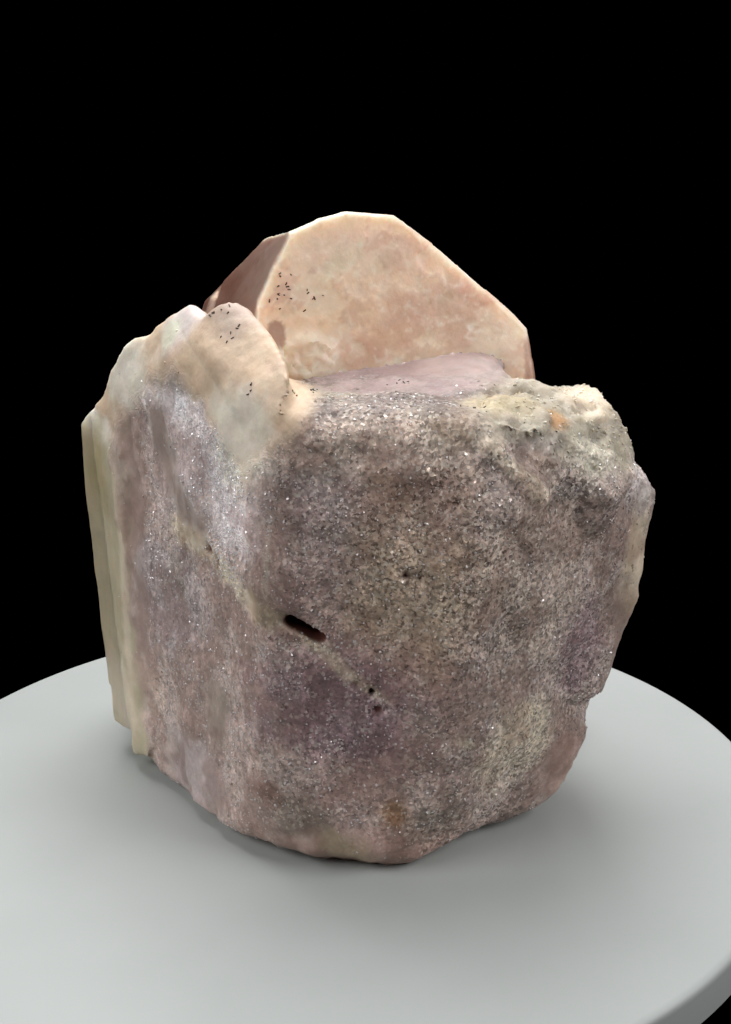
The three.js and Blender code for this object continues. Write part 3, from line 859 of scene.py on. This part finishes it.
def guest_marks(points, distances):
    """The relief, how far it is sunk, the tint and the finish, of the matrix and of its guests."""
    relief, sunk = matrix_relief(points), np.zeros(len(points))
    tint, finish = matrix_tint(points), matrix_finish(points)
    for guest, distance in distances.items():
        share = guest.share(points)
        beside = within(distance, 1.4)
        relief += beside * share * (guest.relief(points) - relief)
        sunk += beside * (SKIN_STEP * (2 * guest.bare(points) - 1) + MATRIX_SWELL)
        cover = share * within(distance, guest.stain)
        lay(tint, guest.tint(points), cover)
        finish += cover[:, None] * (guest.finish(points) - finish)
    return relief, sunk, tint, finish


def undercut(points, moved, from_slab):
    """How far the worn foot is drawn in at the floor, as steps in x and y."""
    out = moved[:, :2] - FOOT_CENTRE
    far = np.linalg.norm(out, axis=1)
    depth = UNDERCUT * fall(points[:, 2], 0, FOOT_HEIGHT) * rise(far, 8, 20) * rise(from_slab, 2, 8)
    return depth[:, None] * out / far[:, None]


def make_matrix():
    """The matrix, in one skin with the lower part of the pale minerals that it has grown over."""
    mesh = finer_copy("matrix", "granular_matrix", MATRIX_CELL, sharp=False,
                      grown_with=[(guest.node, guest.ceiling) for guest in GUESTS], plugs=PLUGS,
                      swell=MATRIX_SWELL)
    points = points_of(mesh)
    distances = {guest: distance_to(points, guest.node) for guest in GUESTS}
    smooth_matrix(mesh, distances)
    points = points_of(mesh)
    relief, sunk, tint, finish = guest_marks(points, distances)
    slot = fall(from_slot(points), 0.4 * SLOT_WIDTH, 0.6 * SLOT_WIDTH) * rise(points[:, 1], *SLOT_MOUTH)
    pits = pit_depth(points, MATRIX_PITS)
    hollow = pits + pit_depth(points, MATRIX_SCALLOPS)
    moved = points + normals_of(mesh) * (relief - sunk - hollow)[:, None]
    moved[:, 2] -= pocket_depth(points, distances[MORGANITE], MORGANITE.node, MORGANITE.ceiling)
    moved[:, 2] = np.where(points[:, 2] < UNDERSIDE, LOWEST, np.maximum(moved[:, 2], LOWEST))
    moved[:, :2] -= undercut(points, moved, distances[FELDSPAR_SLAB])
    set_points(mesh, moved)
    relaxed(mesh, 1, 0.3)

    # Painted shade: the inside of the slot and of the deeper small hollows is painted a dark reddish brown.
    cover = np.maximum(rise(pits, 0.2, 0.9), slot)
    lay(tint, "pit", cover)
    finish[:, 0] *= 1 - cover
    return finished(mesh, "matrix", Stone("granular_matrix", GRANULAR).material, tint, finish)


# ---- pale minerals that fade into it

SKIN_STEP = 0.14  # how far the skin on top lies above the other, where they share a place
FITTED = (2.5, 4.5)  # a mineral's own skin is fitted to the matrix's within this distance
RAISED = (-1.2, -0.4)  # and is raised to it only where it lies less than this far beneath
BARE_FADE = 4.0  # half the width in which its own skin comes out on top


def ragged_rise(height, points, fade, seed):
    """0 below -fade and 1 above it, at heights in mm, with a ragged change between."""
    return rise(height + 1.1 * fade * rough_noise(points / 3.5, seed), -fade, fade)


class Guest(namedtuple("Guest", "node inside cover ceiling stain fade relief tint finish")):
    """A pale mineral that the matrix has grown over at its edge.

    inside gives how far within that edge points are, in mm: below 0 it looks like the matrix. The
    matrix's skin lies on top as far as cover mm within it, and takes the mineral's colours as far as
    stain mm away, so that no seam shows. fade is half the width of the ragged change, and ceiling the
    height that the matrix's skin stops at. relief, tint and finish give its own surface at points.
    """

    def share(self, points):
        """0 where it looks like the matrix and 1 where it looks like itself."""
        return ragged_rise(self.inside(points), points, self.fade, 55)

    def bare(self, points):
        """0 where the matrix's skin is on top and 1 where its own is."""
        return rise(self.inside(points) - self.cover, -BARE_FADE, BARE_FADE)

    def dressed(self, mesh, matrix, slot, name, look, own_tint=None, own_finish=None, crease=None):
        """Gives the mineral's own mesh its relief and colours, and fits it to the matrix's skin."""
        points = points_of(mesh)
        own_tint = self.tint(points) if own_tint is None else own_tint
        own_finish = self.finish(points) if own_finish is None else own_finish
        share, bare = self.share(points)[:, None], self.bare(points)
        own = points + normals_of(mesh) * (self.relief(points) + SKIN_STEP)[:, None]
        skin, out = nearest_on(matrix.mesh, own)
        height = np.sum((own - skin) * out, axis=1)
        wanted = SKIN_STEP * (2 * bare - 1)
        below = np.minimum(height, wanted)
        above = np.maximum(height, height + rise(height, *RAISED) * (wanted - height))
        fitted = below + rise(bare, 0.5, 1) * (above - below)
        beside = fall(np.linalg.norm(own - skin, axis=1), *FITTED)
        moved = own + (beside * (fitted - height))[:, None] * out
        moved[:, 2] = np.maximum(moved[:, 2], LOWEST)
        set_points(mesh, moved)
        tint, finish = matrix_tint(points), matrix_finish(points)
        tint += share * (own_tint - tint)
        finish += share * (own_finish - finish)
        return finished(mesh, self.node, Stone(name, look).material, tint, finish, crease)


def nearest_on(mesh, points):
    """The nearest places on a mesh, in mm, and its normals there."""
    work = bmesh.new()
    work.from_mesh(mesh)
    skin = skin_of(work)
    found = [skin.find_nearest(Vector(point) * MM) for point in points]
    return np.array([place for place, _, _, _ in found]) / MM, np.array([out for _, out, _, _ in found])


# A dusky spot and a flaky crust, both on the main face: centre, radius and half height.
WINDOW = ((-11.3, -4.6, 75.4), 1.7, 2.6)
FLAKY_PLACE = ((-7.5, -4.5, 71.5), 6, 4)


def broken_layers(points):
    """Angular patches of two sizes, from about -0.5 to 0.5, like growth layers that ended unevenly."""
    warped = points * (1, 1, 1.5) + 1.1 * rough_noise(points / 3, 41)[:, None]
    _, large = crystal_cells(warped / 6, 42)
    _, small = crystal_cells(warped / 2.6, 45)
    return 0.6 * (large - 0.5) + 0.4 * (small - 0.5)


def veins(points, size, seed):
    """1 on thin wandering lines and 0 beside them."""
    return rise(-np.abs(rough_noise(points / size, seed, 3)), -0.06, -0.01)


def morganite_relief(points):
    """A faint swell, low hillocks with straight sides, and flakes at the foot, on nearly flat faces."""
    _, flake = crystal_cells(points / 1.6, 49)
    flaky = patch(points, *FLAKY_PLACE) * (0.5 + 0.4 * rough_noise(points / 2.5, 50) + 0.4 * (flake - 0.5))
    return 0.05 + 0.1 * rough_noise(points / 7, 43) + 0.2 * broken_layers(points) + flaky


def morganite_tint(points):
    tint = painted(points, "peach", MORGANITE_ZONES, MORGANITE_LINES, 44)
    layers = broken_layers(points)
    lay(tint, "salmon", 0.5 * rise(layers, 0.0, 0.35))
    lay(tint, "peach_cream", 0.55 * rise(-layers, 0.0, 0.35))
    lay(tint, "cream_white", 0.35 * veins(points * (1, 1, 1.6), 6, 47))
    lay(tint, "dusky_rose", 0.8 * rise(patch(points, *WINDOW), 0.3, 0.7))
    return tint


def crust_relief(points):
    """Lumps with sugar grains on them."""
    crumb, own = crystal_cells(points / 1.5, 32)
    crests = 0.5 - np.abs(2 * rough_noise(points / 6, 34))
    return 0.1 + 0.9 * crests + 0.4 * rough_noise(points / 3, 31) + 0.35 * (0.5 - crumb) + 0.2 * (own - 0.5)


def crust_tint(points):
    tint = painted(points, "crust", CRUST_ZONES, (), 33)
    # Painted shade: the crust is darker in its hollows.
    return tint * (1 - 0.3 * rise(0.1 - crust_relief(points), 0.0, 0.8))[:, None]


CRUST_BUMP = ((32, -23, 59), 7, 4)  # where the crust is most sugary: centre, radius and half height


def crust_finish(points):
    return finish_of(points, 0.3 + 0.5 * patch(points, *CRUST_BUMP), dark=0.03)


def lobe_relief(points):
    return 0.3 * rough_noise(points / 5, 51) + 0.12 * rough_noise(points / 1.8, 56)


def lobe_tint(points):
    tint = painted(points, "peach_pale", SIDE_ZONES, (), 53)
    return tint * (1 + 0.06 * rough_noise(points / 2.5, 57))[:, None]


def lobe_finish(points):
    return finish_of(points, 0.08, clear=0.1 * rise(over(points, LOBE_FOOT), 9, 14))


def slab_relief(points):
    """Long upright ribs and a slow swell."""
    return 0.15 + 0.2 * rough_noise(points * (1, 1, 0.12) / 2.5, 71) + 0.2 * rough_noise(points / 6, 72)


def plate_relief(points):
    return 0.1 + 0.2 * rough_noise(points / 4, 61) + 0.3 * broken_layers(points)


def plate_tint(points):
    tint = painted(points, "lavender", LAVENDER_ZONES, (), 62)
    lay(tint, "lavender_pale", 0.5 * rise(broken_layers(points), 0.0, 0.2))
    return tint


# Where each mineral comes out of the matrix: heights over x, or for the slab x over the height.
LOBE_FOOT = [(-41, 56), (-36, 62), (-31, 68), (-26, 71), (-20, 65), (-15.5, 59), (-11.5, 64), (-6, 67)]
CRUST_FOOT = [(16, 66.5), (24, 64.5), (29, 61), (33, 57.5), (40, 57), (44, 59)]
PLATE_FOOT = [(-12, 69.4), (8, 69), (24, 69)]
SLAB_EDGE = [(0, -35.2), (60, -39.2)]
TABLET_FOOT = [(0, 14)]


def over(points, line):
    """How far points are above a line given as x and z, in mm."""
    return points[:, 2] - np.interp(points[:, 0], *np.array(line, float).T)


def within_slab(points):
    """How far points are to the left of the slab's edge, in mm."""
    return np.interp(points[:, 2], *np.array(SLAB_EDGE, float).T) - points[:, 0]


SIDE_CRYSTALS = Guest("side_crystals", partial(over, line=LOBE_FOOT), 7, 79, 5, 2.2,
                      lobe_relief, lobe_tint, lobe_finish)
ALBITE_CRUST = Guest("albite_crust", partial(over, line=CRUST_FOOT), 5, 69, 5, 2.2,
                     crust_relief, crust_tint, crust_finish)
FELDSPAR_SLAB = Guest("feldspar_slab", within_slab, 4, 66, 2, 1.2, slab_relief,
                      partial(painted, base="olive", zones=SLAB_ZONES, seed=73),
                      partial(finish_of, grain=0.05, clear=0.5))
LAVENDER = Guest("lavender_crystal", partial(over, line=PLATE_FOOT), 0.6, 71, 3, 0.8,
                 plate_relief, plate_tint, partial(finish_of, grain=0.1, dark=0.05))
MORGANITE = Guest("morganite_crystal", partial(over, line=TABLET_FOOT), 0, 24, 1, 2,
                  morganite_relief, morganite_tint, partial(finish_of, grain=0.04, clear=0.05))
GUESTS = [SIDE_CRYSTALS, ALBITE_CRUST, FELDSPAR_SLAB, LAVENDER, MORGANITE]
CRUST_CELL = 0.5
CRYSTAL_CELL = 0.45
TABLET_CELL = 0.5
FILLED_BELOW = (73, 81)  # the heights between which the clefts of the side crystals start to be filled


def make_crust(matrix):
    mesh = finer_copy("albite_crust", "albite_crust_sugar", CRUST_CELL, sharp=False)
    filled(mesh, 20)
    relaxed(mesh, 2)
    return ALBITE_CRUST.dressed(mesh, matrix, "albite", "albite_crust", SUGARY)


def make_side_crystals(matrix):
    mesh = finer_copy("side_crystals", "side_crystal_group", CRYSTAL_CELL, sharp=True)
    filled(mesh, 30)
    filled(mesh, 250, 0.5 * fall(points_of(mesh)[:, 2], *FILLED_BELOW))
    relaxed(mesh, 10, 0.5)
    relaxed(mesh, 120, 0.5 * patch(points_of(mesh), *LOBE_ROOT))
    return SIDE_CRYSTALS.dressed(mesh, matrix, "pale_crystal", "pale_beryl", LOBE)


def make_slab(matrix):
    mesh = finer_copy("feldspar_slab", "feldspar_blades", CRYSTAL_CELL, sharp=True)
    filled(mesh, 30)
    relaxed(mesh, 1, 0.4)
    return FELDSPAR_SLAB.dressed(mesh, matrix, "feldspar", "olive_feldspar", FELDSPAR)


def make_lavender(matrix):
    mesh = finer_copy("lavender_crystal", "lavender_plate", CRYSTAL_CELL, sharp=True)
    relaxed(mesh, 5, 0.5)
    return LAVENDER.dressed(mesh, matrix, "lavender_crystal", "lavender", LEPIDOLITE)


# ---- the morganite

LEFT_FACET = np.array((-0.8, -0.27, 0.54))  # the way the dusky left facet looks
DARK_END = ((28, 5, 67), 8, 10)  # where painted shade makes the right end darkest: centre, radius and half height


def make_morganite(matrix):
    """The tablet, its faces kept flat, edges just rounded with a painted highlight, two ends dusky, the
    right in painted shade.
    """
    mesh = finer_copy("morganite_crystal", "morganite_tablet", TABLET_CELL, sharp=True)
    relaxed(mesh, 1, 0.4)
    points, normals, worn = points_of(mesh), normals_of(mesh), edge_highlight_mask(mesh, 0.06)
    inward = rise(points[:, 0] + 2 * rough_noise(points / 5, 48), -21, -11)[:, None]
    dusky = linear("rose_brown") + inward * (linear("rose_grey") - linear("rose_brown"))
    facet = rise(normals @ LEFT_FACET, 0.8, 0.93)
    end = rise(normals[:, 0], 0.8, 0.95)
    # Painted shade: the right end turns dusky rose, darkest within DARK_END.
    shadow = patch(points, *DARK_END)[:, None]
    end_tint = linear("salmon") + shadow * (linear("dusky_rose") - linear("salmon"))
    tint = morganite_tint(points)
    # Painted shadow: a dusky strip on the main face at its right end.
    sliver = 0.8 * rise(points[:, 0], 26.9, 27.3) * fall(points[:, 2], 71, 72.5)
    lay(tint, dusky, facet)
    lay(tint, end_tint, 0.8 * end)
    # Painted highlight: cream white laid along the tablet's outer edges.
    lay(tint, "cream_white", 0.35 * worn)
    lay(tint, "dusky_rose", sliver)
    back = rise(normals[:, 1], 0.2, 0.7)
    clear = np.clip(0.05 + 0.6 * facet + 0.2 * end + 0.35 * back, 0, 1)
    finish = finish_of(points, 0.04, clear=clear)
    return MORGANITE.dressed(mesh, matrix, "morganite", "morganite", BERYL, tint, finish, crease=32)


# ---- small loose-looking crystals

BOX_CORNERS = np.array([(x, y, z) for z in (-1, 1) for y in (-1, 1) for x in (-1, 1)], float)
BOX_FACES = np.array([(0, 2, 3, 1), (4, 5, 7, 6), (0, 1, 5, 4), (2, 6, 7, 3), (0, 4, 6, 2), (1, 3, 7, 5)])


def spread_over(surface, weights, count, rng):
    """Random places on a surface, more of them where its vertices weigh more, with normals and tints."""
    mesh = surface.mesh
    mesh.calc_loop_triangles()
    triangles = numbers_of(mesh.loop_triangles, "vertices", 3)
    corner = points_of(mesh)[triangles]
    normal = np.cross(corner[:, 1] - corner[:, 0], corner[:, 2] - corner[:, 0])
    share = np.cumsum(np.linalg.norm(normal, axis=1) * weights[triangles].mean(axis=1))
    picked = np.searchsorted(share, rng.random(count) * share[-1])
    part = rng.dirichlet((1, 1, 1), count)
    place = np.einsum("ij,ijk->ik", part, corner[picked])
    facing = normal[picked] / np.linalg.norm(normal[picked], axis=1)[:, None]
    tint = np.einsum("ij,ijk->ik", part, surface.tint[triangles[picked]])
    return place, facing, tint


def tilted_axes(facing, tilt, rng):
    """Three axes at right angles for each direction, the last near it but tilted at random."""
    out = facing + tilt * rng.normal(size=facing.shape)
    out /= np.linalg.norm(out, axis=1)[:, None]
    across = np.cross(out, rng.normal(size=facing.shape))
    across /= np.linalg.norm(across, axis=1)[:, None]
    return np.stack([across, np.cross(out, across), out], axis=1)


def chips(name, place, axes, halves, tint, rng):
    """One mesh of small closed blocks with these half sizes in mm, their corners moved a little."""
    ragged = BOX_CORNERS[None] * (1 + 0.3 * (rng.random((len(place), 8, 3)) - 0.5))
    corners = np.einsum("nki,nij->nkj", ragged * halves[:, None, :], axes) + place[:, None, :]
    faces = BOX_FACES[None] + 8 * np.arange(len(place))[:, None, None]
    mesh = bpy.data.meshes.new(name)
    mesh.from_pydata((corners.reshape(-1, 3) * MM).tolist(), [], faces.reshape(-1, 4).tolist())
    mesh.update()
    add_colours(mesh, "tint", np.repeat(opaque(tint), 8, axis=0))
    return mesh


def chip_material(name, roughness, metallic=0.0, soft=0.0):
    """Small crystals that take their colour from the mesh, with a faint cloud in it."""
    s = Shader(name)
    shade = s.step(s.noise(s.place_in_mm(), 1.2), 0.3, 0.7, 0.9, 1.1)
    s.surface({"Base Color": s.scaled(s.attribute("tint")["Color"], shade), "Roughness": roughness,
               "Metallic": metallic, "Subsurface Weight": soft, "Subsurface Radius": SUGARY["radius"],
               "Subsurface Scale": MM})
    return s.material


SPECK_HALVES = (0.3, 0.1, 0.08)
SHEEN_PLACE = ((-19, -20, 56), 10, 14)  # where the mica shines most, with more flakes and the brightest painted glint: centre, radius and half height
FLAKES = 14000
GRAINS = 5000
BLADES = 1500


def make_flakes(matrix):
    """Thin mica flakes all over the sugary parts of the matrix, tinted silver: the mica's pale colour and a
    painted glint.
    """
    rng = np.random.default_rng(81)
    points = points_of(matrix.mesh)
    sheen = 1 + 1.5 * on_left_face(points) + 6 * patch(points, *SHEEN_PLACE)
    above = rise(points[:, 2], 0.3, 1.5)
    place, facing, tint = spread_over(matrix, matrix.grain ** 2 * sheen * above, FLAKES, rng)
    size = 0.07 + 0.1 * rng.random(FLAKES) ** 2
    halves = np.stack([size, size * rng.uniform(0.6, 1, FLAKES), np.full(FLAKES, 0.04)], axis=1)
    # Painted glint: the flakes are tinted towards silver, most of all where the mica shines most.
    bright = 0.6 + 0.35 * patch(place, *SHEEN_PLACE)
    tint += bright[:, None] * (linear("silver") - tint)
    mesh = chips("mica_flakes", place + 0.03 * facing, tilted_axes(facing, 0.4, rng), halves, tint, rng)
    added(mesh, chip_material("mica", 0.25, 0.15))


def make_grains(matrix):
    """Blocky feldspar grains half sunk in the matrix, each a little lighter or darker than it."""
    rng = np.random.default_rng(82)
    weights = matrix.grain ** 2 * rise(points_of(matrix.mesh)[:, 2], 0.6, 2)
    place, facing, tint = spread_over(matrix, weights, GRAINS, rng)
    halves = rng.uniform(0.1, 0.2, (GRAINS, 3))
    tint *= rng.uniform(0.75, 1.35, (GRAINS, 1))
    mesh = chips("feldspar_grains", place - 0.08 * facing, tilted_axes(facing, 1.5, rng), halves, tint, rng)
    added(mesh, chip_material("feldspar_grain", 0.5))


def make_blades(crust):
    """Small albite blades that stand out of the crust."""
    rng = np.random.default_rng(83)
    place, facing, tint = spread_over(crust, np.ones(len(crust.tint)), BLADES, rng)
    halves = rng.uniform(0.12, 0.36, (BLADES, 3)) * (1, 0.9, 0.4)
    tint *= rng.uniform(1.1, 1.5, (BLADES, 1))
    mesh = chips("albite_blades", place - 0.12 * facing, tilted_axes(facing, 1.2, rng), halves, tint, rng)
    added(mesh, chip_material("albite_blade", 0.4, soft=0.5))


def make_specks(surfaces):
    """Tiny near-black crystals in the clusters listed above."""
    rng = np.random.default_rng(84)
    places, facings = [], []
    for node, centre, spread, count in SPECKS:
        away = np.linalg.norm(points_of(surfaces[node].mesh) - centre, axis=1)
        place, facing, _ = spread_over(surfaces[node], np.exp(-(away / spread) ** 2), count, rng)
        places.append(place)
        facings.append(facing)
    place, facing = np.concatenate(places), np.concatenate(facings)
    halves = rng.uniform(0.7, 1, (len(place), 3)) * SPECK_HALVES
    tint = np.tile(linear("speck"), (len(place), 1))
    mesh = chips("dark_specks", place, tilted_axes(facing, 0.4, rng), halves, tint, rng)
    added(mesh, chip_material("dark_speck", 0.5))


# ---- floor, lights and camera

FLOOR_PLACE = (-6.93, -7.3)
FLOOR_RADIUS = 73.0
FLOOR_RIM = 1.2
FLOOR_DEPTH = 6.0
FLOOR_COLOURS = ((0.38, 0.40, 0.39, 1), (0.41, 0.43, 0.42, 1))


def make_floor():
    """A plain pale round floor with a rounded rim."""
    rim = FLOOR_RIM
    turns = np.radians(np.arange(0, 91, 15))
    profile = [(0, 0)] + [(FLOOR_RADIUS - rim + rim * np.sin(t), rim * np.cos(t) - rim) for t in turns]
    profile += [(FLOOR_RADIUS, -FLOOR_DEPTH), (0, -FLOOR_DEPTH)]
    work = bmesh.new()
    stops = [work.verts.new((FLOOR_PLACE[0] + r, FLOOR_PLACE[1], z)) for r, z in profile]
    edges = [work.edges.new(pair) for pair in zip(stops[:-1], stops[1:])]
    bmesh.ops.spin(work, geom=stops + edges, cent=(*FLOOR_PLACE, 0), axis=(0, 0, 1),
                   angle=2 * np.pi, steps=180)
    bmesh.ops.remove_doubles(work, verts=work.verts, dist=0.001)
    bmesh.ops.recalc_face_normals(work, faces=work.faces)
    bmesh.ops.scale(work, verts=work.verts, vec=(MM, MM, MM))
    mesh = mesh_from(work, "floor")
    mesh.shade_smooth()
    mesh.set_sharp_from_angle(angle=np.radians(30))
    s = Shader("pale_floor")
    shade = s.step(s.noise(s.place_in_mm(), 30, 3.0), 0.3, 0.7)
    s.surface({"Base Color": s.mix(shade, *FLOOR_COLOURS), "Roughness": 0.55})
    mesh.materials.append(s.material)
    linked("floor", mesh)


# Lights: the name, the place and the size in metres, and the power.
LIGHTS = [
    ("overhead", (-0.04, 0.18, 0.46), 0.36, 3.0),
    ("left", (-0.33, -0.17, 0.30), 0.25, 1.0),
    ("right", (0.36, -0.15, 0.28), 0.25, 1.3),
    ("back", (0.10, 0.50, 0.20), 0.3, 0.4),
    ("sparkle", (-0.25, -0.40, 0.45), 0.04, 0.2),
]
LIT_PLACE = (0, 0, 0.04)  # metres; what the lights look at


def make_lights():
    """A big soft light overhead and a little behind, weaker ones all round, a small one for sparkle."""
    world = bpy.data.worlds.new("dark")
    world.use_nodes = True
    world.node_tree.nodes["Background"].inputs["Color"].default_value = (0, 0, 0, 1)
    bpy.context.scene.world = world
    for name, place, size, power in LIGHTS:
        lamp = bpy.data.lights.new(name, "AREA")
        lamp.shape = "SQUARE"
        lamp.size = size
        lamp.energy = power
        light = linked(name, lamp)
        light.location = place
        light.rotation_euler = (Vector(place) - Vector(LIT_PLACE)).to_track_quat("Z", "Y").to_euler()


CAMERA_PLACE = (0.00147, -0.21325, 0.11495)
CAMERA_TILT = 18.0156  # degrees that it looks down
CAMERA_ROLL = -1.273
CAMERA_LENS = 49.455


def make_camera():
    camera = bpy.data.cameras.new("camera")
    camera.lens = CAMERA_LENS
    camera.clip_start = 0.01
    tilt = Matrix.Rotation(np.radians(90 - CAMERA_TILT), 4, "X")
    roll = Matrix.Rotation(np.radians(CAMERA_ROLL), 4, "Z")
    bpy.context.scene.camera = linked("camera", camera)
    bpy.context.scene.camera.matrix_world = Matrix.Translation(CAMERA_PLACE) @ tilt @ roll


def main():
    bpy.context.scene.view_settings.view_transform = "Standard"
    make_camera()
    make_floor()
    make_lights()
    matrix = make_matrix()
    surfaces = {
        "matrix": matrix,
        "albite_crust": make_crust(matrix),
        "morganite_crystal": make_morganite(matrix),
        "side_crystals": make_side_crystals(matrix),
        "lavender_crystal": make_lavender(matrix),
        "feldspar_slab": make_slab(matrix),
    }
    make_flakes(matrix)
    make_grains(matrix)
    make_blades(surfaces["albite_crust"])
    make_specks(surfaces)


main()
